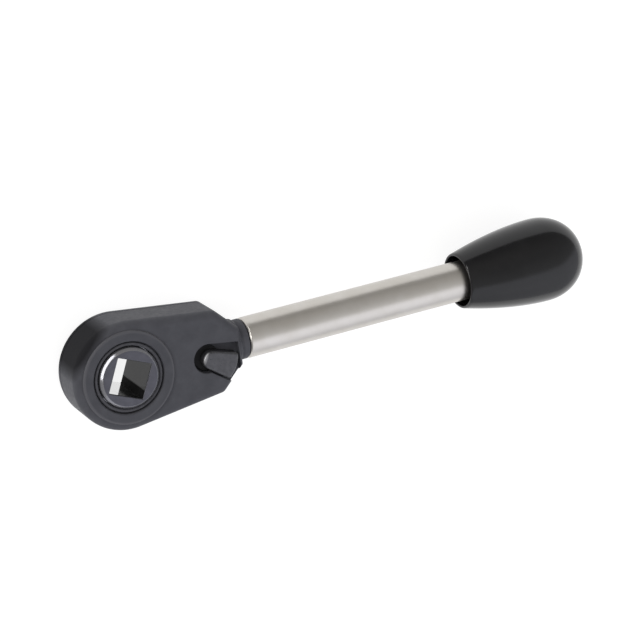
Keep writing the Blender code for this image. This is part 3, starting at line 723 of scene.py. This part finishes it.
def build_selector(material):
    bottom = RECESS_FLOOR + GAP
    groove = SHAFT_RADIUS - CLIP_GROOVE_DEPTH
    shaft = [
        (0, SHAFT_BOTTOM),
        (PIVOT_RADIUS, SHAFT_BOTTOM),
        (PIVOT_RADIUS, SHAFT_STEP),
        (SHAFT_RADIUS, SHAFT_STEP),
        (SHAFT_RADIUS, CLIP_GROOVE[0]),
        (groove, CLIP_GROOVE[0]),
        (groove, CLIP_GROOVE[1]),
        (SHAFT_RADIUS, CLIP_GROOVE[1]),
        (SHAFT_RADIUS, bottom),
        (DISC_RADIUS, bottom),
        (DISC_RADIUS, DISC_TOP),
        (0, DISC_TOP),
    ]
    lever = add_mesh("lever", turned(soften(shaft, SHAFT_SOFT), 96))
    low = bottom + PADDLE_LIFT
    paddle = rounded_slab(paddle_outline, low, PADDLE_TOP, PADDLE_LOWER_ROUND, PADDLE_ROUND)
    boolean(lever, "UNION", add_mesh("paddle", paddle))
    bore = turned(
        [
            (0, PLUNGER_BORE_END),
            (PLUNGER_BORE_RADIUS, PLUNGER_BORE_END),
            (PLUNGER_BORE_RADIUS, PLUNGER_BORE_MOUTH),
            (0, PLUNGER_BORE_MOUTH),
        ],
        48,
    )
    turn = (0, math.pi / 2, PLUNGER_DIRECTION)
    cutter = add_mesh("plunger_bore", bore, location=(0, 0, PLUNGER_Z), rotation=turn)
    boolean(lever, "DIFFERENCE", cutter)
    settle(lever)
    finish_piece(
        lever,
        "selector",
        "dark_lever",
        material,
        "selector_lever",
        place=joint_place("selector_turn"),
        turn=SELECTOR_REST,
    )


def build_spring(material):
    """The coil under the plunger."""
    rings = []
    for i in range(SPRING_STEPS + 1):
        share = i / SPRING_STEPS
        turn = math.tau * SPRING_TURNS * share
        height = SPRING_START + (SPRING_END - SPRING_START) * share
        section = arc(SPRING_WIRE, 0, math.tau, 12, (SPRING_RADIUS, height))[:-1]
        rings.append([(r * math.cos(turn), r * math.sin(turn), z) for r, z in section])
    spring = settle(add_mesh("spring", rings))
    tilt = Matrix.Rotation(PLUNGER_DIRECTION, 4, "Z") @ Matrix.Rotation(math.pi / 2, 4, "Y")
    spring.matrix_basis = Matrix.Translation((0, 0, PLUNGER_Z)) @ tilt
    pivot = joint_place("selector_turn")
    finish_piece(
        spring,
        "selector",
        "plain_steel",
        material,
        "plunger_spring",
        place=pivot,
        turn=SELECTOR_REST,
    )
    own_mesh(spring)


# Handle

def build_tube(material):
    profile = soften(
        [
            (TUBE_INNER, TUBE_START + TUBE_RING_STEP),
            (TUBE_INNER, TUBE_START + TUBE_EDGE),
            (TUBE_INNER + TUBE_EDGE, TUBE_START),
            (TUBE_RADIUS - TUBE_EDGE, TUBE_START),
            (TUBE_RADIUS, TUBE_START + TUBE_EDGE),
            (TUBE_RADIUS, TUBE_END - TUBE_EDGE),
            (TUBE_RADIUS - TUBE_EDGE, TUBE_END),
            (TUBE_INNER + TUBE_EDGE, TUBE_END),
            (TUBE_INNER, TUBE_END - TUBE_EDGE),
            (TUBE_INNER, TUBE_END - TUBE_RING_STEP),
        ],
        TUBE_SOFT,
    )
    tube = add_mesh("tube", turned(profile), closed=True, **along_x())
    drill(tube, "tube_pin_hole", (PIN_X, 0), PIN_HOLE_RADIUS, *TUBE_PIN_HOLE)
    settle(tube)
    finish_piece(tube, "handle", "stainless_tube", material, "handle_tube")


def grip_profile():
    """(radius, x) points from the bottom of the grip's bore, over the mouth's rim, to its end."""
    inner = soften(
        [
            (0, BUSH_END),
            (BUSH_ROOM, BUSH_END),
            (BUSH_ROOM, BUSH_START),
            (GRIP_BORE, BUSH_START),
            (GRIP_BORE, GRIP_MOUTH + MOUTH_DEPTH),
            (GRIP_BORE + MOUTH_STEP, GRIP_MOUTH + MOUTH_DEPTH - MOUTH_STEP_LENGTH),
            (MOUTH_INNER_RADIUS, GRIP_MOUTH + MOUTH_LIP),
            (MOUTH_INNER_RADIUS + MOUTH_LIP_RISE, GRIP_MOUTH),
            (GRIP_MOUTH_RADIUS - MOUTH_EDGE, GRIP_MOUTH),
        ],
        MOUTH_SOFT,
    )
    length = GRIP_WIDEST - GRIP_MOUTH
    rise = GRIP_RADIUS - GRIP_MOUTH_RADIUS
    taper = []
    for i in range(TAPER_STEPS + 1):
        x = TAPER_START + (GRIP_WIDEST - TAPER_START) * i / TAPER_STEPS
        drop = rise * ((GRIP_WIDEST - x) / length) ** GRIP_TAPER_POWER
        taper.append((GRIP_RADIUS - drop, x))
    end = []
    for i in range(1, TAPER_STEPS):
        t = math.pi / 2 * (1 - i / TAPER_STEPS)
        x = GRIP_WIDEST + (GRIP_END - GRIP_WIDEST) * math.cos(t) ** (2 / GRIP_END_POWER)
        end.append((GRIP_RADIUS * math.sin(t) ** (2 / GRIP_END_POWER), x))
    return inner + taper + end + [(0, GRIP_END)]


def build_grip(material):
    grip = add_mesh("tapered_grip", turned(grip_profile()), **along_x())
    settle(grip, 40)
    finish_piece(grip, "handle", "black_plastic", material, "grip")


# Materials

def node(tree, kind, inputs=None, **settings):
    """A shader node. Each input gets a value, or a link from another node's socket."""
    made = tree.nodes.new(kind)
    for name, value in settings.items():
        setattr(made, name, value)
    for name, value in (inputs or {}).items():
        if isinstance(value, bpy.types.NodeSocket):
            tree.links.new(value, made.inputs[name])
        else:
            made.inputs[name].default_value = value
    return made


def millimetres(tree, stretch=(1, 1, 1)):
    """The piece's own coordinates in millimetres, stretched along its axes."""
    place = node(tree, "ShaderNodeTexCoord").outputs["Object"]
    scale = [part / MM for part in stretch]
    return node(tree, "ShaderNodeVectorMath", {0: place, 1: scale}, operation="MULTIPLY").outputs[0]


def noise(tree, vector, size, detail=3, rough=0.55):
    """Soft noise whose marks are about size millimetres across."""
    inputs = {"Vector": vector, "Scale": 1 / size, "Detail": detail, "Roughness": rough}
    return node(tree, "ShaderNodeTexNoise", inputs).outputs["Fac"]


def spread(tree, value, low, high, start=0.3, end=0.7):
    """Maps start..end of a value to low..high."""
    inputs = {"Value": value, "From Min": start, "From Max": end, "To Min": low, "To Max": high}
    return node(tree, "ShaderNodeMapRange", inputs).outputs["Result"]


def ramp(tree, value, *stops):
    """Colours between stops of (position, colour)."""
    made = node(tree, "ShaderNodeValToRGB", {"Fac": value})
    elements = made.color_ramp.elements
    while len(elements) < len(stops):
        elements.new(0.5)
    for element, (position, colour) in zip(elements, stops):
        element.position = position
        element.color = (*colour, 1)
    return made.outputs["Color"]


def mottled(tree, vector, size, detail, dark, light):
    """Two close colours, mixed in soft patches of about size millimetres."""
    return ramp(tree, noise(tree, vector, size, detail), (0.3, dark), (0.7, light))


def mix(tree, share, first, second):
    """Blends two colours."""
    made = node(tree, "ShaderNodeMix", {"Factor": share}, data_type="RGBA")
    tree.links.new(first, made.inputs[6])
    if isinstance(second, bpy.types.NodeSocket):
        tree.links.new(second, made.inputs[7])
    else:
        made.inputs[7].default_value = (*second, 1)
    return made.outputs[2]


def mix_values(tree, share, first, second):
    """Blends a value towards a constant."""
    inputs = {"Factor": share, 2: first, 3: second}
    return node(tree, "ShaderNodeMix", inputs, data_type="FLOAT").outputs[0]


def bump(tree, height, depth, below=None):
    """Relief of the given depth in millimetres, laid over another relief."""
    inputs = {"Height": height, "Distance": depth * MM, "Strength": 1.0}
    if below:
        inputs["Normal"] = below
    return node(tree, "ShaderNodeBump", inputs).outputs["Normal"]


def edges(tree, radius, low, high):
    """0 on flat or gently curved surfaces, and up to 1 along edges of about radius millimetres."""
    soft = node(tree, "ShaderNodeBevel", {"Radius": radius * MM}, samples=4).outputs["Normal"]
    true = node(tree, "ShaderNodeNewGeometry").outputs["Normal"]
    turn = node(tree, "ShaderNodeVectorMath", {0: soft, 1: true}, operation="DOT_PRODUCT")
    return spread(tree, turn.outputs["Value"], 0, 1, high, low)


def times(tree, first, second):
    return node(tree, "ShaderNodeMath", {0: first, 1: second}, operation="MULTIPLY").outputs[0]


def worn_edges(tree, place, edge, patch, share):
    """How far a coating is rubbed off: along edges, and more in some patches than in others."""
    patches = spread(tree, noise(tree, place, patch), *share)
    return times(tree, edges(tree, *edge), patches)


def radius_from_axis(tree):
    """Distance from the piece's own Z axis in millimetres."""
    flat = millimetres(tree, (1, 1, 0))
    return node(tree, "ShaderNodeVectorMath", {0: flat}, operation="LENGTH").outputs["Value"]


def along(tree, direction):
    """How far the surface lies along a direction from the piece's axis, in millimetres."""
    inputs = {0: millimetres(tree), 1: direction}
    return node(tree, "ShaderNodeVectorMath", inputs, operation="DOT_PRODUCT").outputs["Value"]


def new_material(name):
    """A material with its node tree and its principled shader."""
    made = bpy.data.materials.new(name)
    made.use_nodes = True
    tree = made.node_tree
    return made, tree, tree.nodes["Principled BSDF"]


def connect(tree, shader, colour, roughness, normal, metallic=0.0, specular=0.5):
    tree.links.new(colour, shader.inputs["Base Color"])
    tree.links.new(roughness, shader.inputs["Roughness"])
    tree.links.new(normal, shader.inputs["Normal"])
    shader.inputs["Metallic"].default_value = metallic
    shader.inputs["Specular IOR Level"].default_value = specular


def casting_material():
    """Satin black coated casting, rubbed lighter along its edges; the boss's rim is smoother and
    painted lighter as a highlight.

    On one side of the round end the colour is darkened as painted shade, and the surface is more matt.
    """
    made, tree, shader = new_material("black_casting_look")
    place = millimetres(tree)
    grain = noise(tree, place, 0.3, 2)
    dark = (0.065, 0.0660, 0.0755)
    light = (0.081, 0.0822, 0.0930)
    colour = mottled(tree, place, 5.0, 4, dark, light)
    worn = worn_edges(tree, place, edge=(0.35, 0.80, 0.97), patch=1.4, share=(0.15, 0.6))
    colour = mix(tree, worn, colour, (0.11, 0.11, 0.12))
    # Painted shade: the round end's side towards (-0.72, 0.69) is darkened and made more matt.
    painted_side_shade = spread(tree, along(tree, (-0.72, 0.69, 0.0)), 0, 1, 14.6, 17.2)
    colour = mix(tree, painted_side_shade, colour, (0.016, 0.016, 0.018))
    reach = radius_from_axis(tree)
    # The boss's rim: a lighter ring painted as a highlight, with low roughness that also catches the
    # key light.
    rim = times(tree, spread(tree, reach, 0, 1, 14.9, 15.3), spread(tree, reach, 1, 0, 15.9, 16.0))
    rim = times(tree, rim, spread(tree, along(tree, (0, 0, 1)), 0, 1, 8.5, 8.7))
    colour = mix(tree, rim, colour, (0.095, 0.095, 0.105))
    roughness = spread(tree, noise(tree, place, 1.1, 3), 0.42, 0.56)
    roughness = mix_values(tree, painted_side_shade, roughness, 0.85)
    roughness = mix_values(tree, rim, roughness, 0.22)
    relief = bump(tree, grain, 0.018)
    relief = bump(tree, noise(tree, place, 3.5, 2), 0.02, relief)
    connect(tree, shader, colour, roughness, relief, 0.0, 0.10)
    return made


def blackened_material():
    """Blackened steel with fine turning marks around the wheel's axis."""
    made, tree, shader = new_material("blackened_steel_look")
    reach = radius_from_axis(tree)
    place = millimetres(tree)
    marks = noise(tree, reach, 0.16, 2)
    dark = (0.074, 0.074, 0.088)
    light = (0.094, 0.094, 0.111)
    colour = mottled(tree, place, 2.5, 4, dark, light)
    worn = worn_edges(tree, place, edge=(0.25, 0.75, 0.97), patch=0.9, share=(0.3, 0.9))
    colour = mix(tree, worn, colour, (0.42, 0.42, 0.44))
    rim = spread(tree, reach, 0, 1, 9.3, 9.5)
    colour = mix(tree, rim, colour, (0.30, 0.30, 0.32))
    roughness = mix_values(tree, rim, spread(tree, marks, 0.3, 0.42), 0.17)
    relief = bump(tree, marks, 0.006)
    connect(tree, shader, colour, roughness, relief, 0.75)
    return made


def painted_shade_wall_material():
    """Two walls of the square: a near-black copy of the steel as painted shade, with deeper painted
    shade along one corner of each.
    """
    made, tree, shader = new_material("painted_shade_wall_look")
    dark = (0.004, 0.004, 0.005)
    light = (0.008, 0.008, 0.009)
    colour = mottled(tree, millimetres(tree), 1.2, 3, dark, light)
    outward = (math.cos(SOCKET_TURN), math.sin(SOCKET_TURN), 0)
    sideways = (-math.sin(SOCKET_TURN), math.cos(SOCKET_TURN), 0)
    corner = times(tree, along(tree, outward), along(tree, sideways))
    # Painted shade: one corner of each wall is darkened further and made matt.
    painted_corner_shade = spread(tree, corner, 1, 0, -21, -17)
    colour = mix(tree, painted_corner_shade, colour, (0.002, 0.002, 0.002))
    lines = noise(tree, millimetres(tree, (3, 3, 0.1)), 0.6, 3)
    roughness = mix_values(tree, painted_corner_shade, spread(tree, lines, 0.06, 0.12), 0.9)
    connect(tree, shader, colour, roughness, bump(tree, lines, 0.0004), 0.0, 0.2)
    return made


def painted_lit_wall_material():
    """The other two walls of the square: a bright copy of the same steel, painted lighter as painted
    light.
    """
    made, tree, shader = new_material("painted_lit_wall_look")
    dark = (0.70, 0.70, 0.70)
    light = (0.80, 0.80, 0.80)
    colour = mottled(tree, millimetres(tree), 1.2, 3, dark, light)
    lines = noise(tree, millimetres(tree, (3, 3, 0.1)), 0.6, 3)
    roughness = spread(tree, lines, 0.07, 0.13)
    connect(tree, shader, colour, roughness, bump(tree, lines, 0.0004), 1.0)
    return made


def lever_material():
    """Dark semi-gloss steel lever, polished along its edges, with a painted highlight on its hub's end
    and painted shade low down.
    """
    made, tree, shader = new_material("dark_lever_look")
    place = millimetres(tree)
    dark = (0.060, 0.060, 0.066)
    light = (0.085, 0.085, 0.092)
    colour = mottled(tree, place, 1.6, 4, dark, light)
    worn = worn_edges(tree, place, edge=(0.8, 0.72, 0.97), patch=0.8, share=(0.4, 0.9))
    colour = mix(tree, worn, colour, (0.42, 0.42, 0.43))
    height = along(tree, (0, 0, 1))
    # Painted highlight: the top of the hub's outer end is painted light.
    hub_end = spread(tree, along(tree, (-1, 0, 0)), 0, 1, 0.7, 1.6)
    painted_hub_highlight = times(tree, hub_end, spread(tree, height, 0, 1, 8.5, 9.0))
    colour = mix(tree, painted_hub_highlight, colour, (0.40, 0.40, 0.41))
    # Painted shade: the lever low in the recess, below about 7 mm, is darkened and made matt.
    painted_low_shade = spread(tree, height, 1, 0, 6.5, 7.4)
    colour = mix(tree, painted_low_shade, colour, (0.012, 0.012, 0.013))
    roughness = spread(tree, noise(tree, place, 0.6, 3), 0.26, 0.38)
    roughness = mix_values(tree, painted_low_shade, roughness, 0.7)
    relief = bump(tree, noise(tree, place, 0.35, 2), 0.008)
    connect(tree, shader, colour, roughness, relief, 0.6)
    return made


def stainless_material():
    """Centreless-ground stainless tube: fine lines around it, and a faint warm tint."""
    made, tree, shader = new_material("stainless_look")
    lines = noise(tree, millimetres(tree, (0.1, 0.1, 8)), 0.9, 3)
    dark = (0.545, 0.520, 0.480)
    light = (0.590, 0.568, 0.535)
    colour = mottled(tree, millimetres(tree), 7.0, 3, dark, light)
    roughness = spread(tree, lines, 0.31, 0.35)
    relief = bump(tree, lines, 0.0003)
    connect(tree, shader, colour, roughness, relief, 1.0)
    return made


def plastic_material():
    """Glossy black moulded plastic, with faint flow waves and hairline rubbing."""
    made, tree, shader = new_material("black_plastic_look")
    place = millimetres(tree)
    dark = (0.003, 0.003, 0.004)
    light = (0.006, 0.006, 0.007)
    colour = mottled(tree, place, 6.0, 3, dark, light)
    scuffs = noise(tree, millimetres(tree, (3, 3, 0.35)), 0.8, 4)
    roughness = spread(tree, scuffs, 0.12, 0.20)
    relief = bump(tree, noise(tree, place, 5.0, 1), 0.03)
    relief = bump(tree, noise(tree, place, 0.5, 2), 0.002, relief)
    connect(tree, shader, colour, roughness, relief, 0.0, 0.38)
    return made


def metal_material(name, dark, light, rough):
    """Plain metal with faint mottling, fine tool marks and slightly varied roughness."""
    made, tree, shader = new_material(name)
    place = millimetres(tree)
    colour = mottled(tree, place, 1.5, 4, dark, light)
    fine = noise(tree, place, 0.25, 3)
    roughness = spread(tree, fine, rough - 0.06, rough + 0.08)
    connect(tree, shader, colour, roughness, bump(tree, fine, 0.006), 1.0)
    return made


def rubber_material():
    """Matt black rubber with a fine moulded grain."""
    made, tree, shader = new_material("rubber_look")
    place = millimetres(tree)
    dark = (0.060, 0.060, 0.068)
    light = (0.080, 0.080, 0.090)
    colour = mottled(tree, place, 1.2, 3, dark, light)
    roughness = spread(tree, noise(tree, place, 0.5, 2), 0.62, 0.8)
    connect(tree, shader, colour, roughness, bump(tree, noise(tree, place, 0.2, 2), 0.01), 0.0, 0.3)
    return made


def floor_material():
    """Pale sheet with an even glow. From below it is clear, so that it never hides the wrench."""
    made, tree, shader = new_material("floor_look")
    place = millimetres(tree)
    dark = (0.24, 0.24, 0.24)
    light = (0.26, 0.26, 0.26)
    colour = mottled(tree, place, 60.0, 2, dark, light)
    roughness = spread(tree, noise(tree, place, 5.0, 2), 0.75, 0.85)
    connect(tree, shader, colour, roughness, bump(tree, noise(tree, place, 0.8, 2), 0.01), 0.0, 0.2)
    shader.inputs["Emission Color"].default_value = (1, 1, 1, 1)
    shader.inputs["Emission Strength"].default_value = FLOOR_GLOW
    back = node(tree, "ShaderNodeNewGeometry").outputs["Backfacing"]
    clear = node(tree, "ShaderNodeBsdfTransparent").outputs[0]
    both = node(tree, "ShaderNodeMixShader", {0: back, 1: shader.outputs[0], 2: clear})
    tree.links.new(both.outputs[0], tree.nodes["Material Output"].inputs["Surface"])
    return made


def paint_cad_nodes(steel, brass):
    """Puts the procedural finishes on the CAD pieces that stay as they are."""
    looks = {"plain_steel": steel, "brass": brass}
    for cad in frame["nodes"].values():
        for slot in cad.material_slots:
            if slot.material and slot.material.name.split(".")[0] in looks:
                slot.material = looks[slot.material.name.split(".")[0]]


# Stage

def build_floor(material):
    """A floor tilted to lie just under the wheel's back face and the grip, as a table does."""
    socket_x = joint_place("wheel_turn").x
    wheel_point = Vector((socket_x + WHEEL_CHAMFER - JOURNAL_RADIUS, WHEEL_BACK))
    grip_point = Vector((socket_x + GRIP_WIDEST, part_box("grip")[0].z))
    slope = (grip_point.y - wheel_point.y) / (grip_point.x - wheel_point.x)
    half = FLOOR_HALF
    shape = bmesh.new()
    corners = []
    for x, y in ((-half, -half), (half, -half), (half, half), (-half, half)):
        z = wheel_point.y + slope * (x - wheel_point.x) - FLOOR_GAP
        corners.append(shape.verts.new((x, y, z)))
    shape.faces.new(corners)
    mesh = bpy.data.meshes.new("floor")
    shape.to_mesh(mesh)
    shape.free()
    mesh.materials.append(material)
    floor = bpy.data.objects.new("floor", mesh)
    bpy.context.scene.collection.objects.link(floor)


def build_world():
    """A soft surround: bright overhead and on the -Y side, dimmer low down and on the +Y side."""
    world = bpy.data.worlds.new("studio")
    world.use_nodes = True
    bpy.context.scene.world = world
    tree = world.node_tree
    direction = node(tree, "ShaderNodeTexCoord").outputs["Generated"]
    parts = node(tree, "ShaderNodeSeparateXYZ", {0: direction})
    across = node(tree, "ShaderNodeVectorMath", {0: direction, 1: DIM_SIDE}, operation="DOT_PRODUCT")
    height = ramp(
        tree,
        spread(tree, parts.outputs["Z"], 0, 1, -1, 1),
        (0.45, (0.45, 0.45, 0.45)),
        (0.52, (0.50, 0.50, 0.50)),
        (0.65, (0.66, 0.66, 0.66)),
        (0.80, (0.88, 0.88, 0.88)),
        (1.0, (1.0, 1.0, 1.0)),
    )
    side = ramp(
        tree,
        spread(tree, across.outputs["Value"], 0, 1, -1, 1),
        (0.0, (0.93, 0.94, 1.0)),
        (0.27, (0.93, 0.94, 1.0)),
        (0.35, (0.50, 0.50, 0.50)),
        (0.60, (0.38, 0.375, 0.37)),
        (0.80, (0.36, 0.35, 0.335)),
        (1.0, (0.28, 0.27, 0.26)),
    )
    glow = node(tree, "ShaderNodeVectorMath", {0: height, 1: side}, operation="MULTIPLY")
    background = tree.nodes["Background"]
    tree.links.new(glow.outputs[0], background.inputs["Color"])
    background.inputs["Strength"].default_value = WORLD_STRENGTH


def add_strip(name, direction, distance, width, height, power):
    """A long soft light that faces the wrench, level with the horizon along its width."""
    data = bpy.data.lights.new(name, "AREA")
    data.shape = "RECTANGLE"
    data.size = width
    data.size_y = height
    data.energy = power
    back = Vector(direction).normalized()
    right = Vector((0, 0, 1)).cross(back).normalized()
    turn = Matrix((right, back.cross(right), back)).transposed().to_4x4()
    light = bpy.data.objects.new(name, data)
    light.matrix_world = Matrix.Translation(back * distance) @ turn
    bpy.context.scene.collection.objects.link(light)


def build_camera():
    data = bpy.data.cameras.new("camera")
    data.lens = CAMERA_LENS
    data.sensor_width = 36
    data.clip_start = 0.01
    camera = bpy.data.objects.new("camera", data)
    back = CAMERA_BACK.normalized()
    right = CAMERA_UP.cross(back).normalized()
    up = back.cross(right)
    turn = Matrix((right, up, back)).transposed().to_4x4()
    camera.matrix_world = Matrix.Translation(CAMERA_AIM + back * CAMERA_DISTANCE) @ turn
    bpy.context.scene.collection.objects.link(camera)
    bpy.context.scene.camera = camera


def main():
    casting = casting_material()
    build_head(casting)
    build_back_plate(casting)
    build_seals(rubber_material())
    steel = metal_material("steel_look", (0.42, 0.42, 0.44), (0.54, 0.54, 0.56), 0.34)
    brass = metal_material("brass_look", (0.66, 0.46, 0.20), (0.78, 0.57, 0.28), 0.34)
    black = metal_material("black_steel_look", (0.035, 0.035, 0.04), (0.055, 0.055, 0.06), 0.4)
    paint_cad_nodes(steel, brass)
    build_plate_screws(black)
    build_wheel(blackened_material(), painted_shade_wall_material(), painted_lit_wall_material())
    build_selector(lever_material())
    build_spring(steel)
    build_tube(stainless_material())
    build_grip(plastic_material())
    build_floor(floor_material())
    build_world()
    add_strip("key", LIGHT_DIRECTION, distance=3.0, width=4.2, height=0.8, power=44)
    build_camera()
    bpy.context.scene.view_settings.view_transform = "Standard"


main()
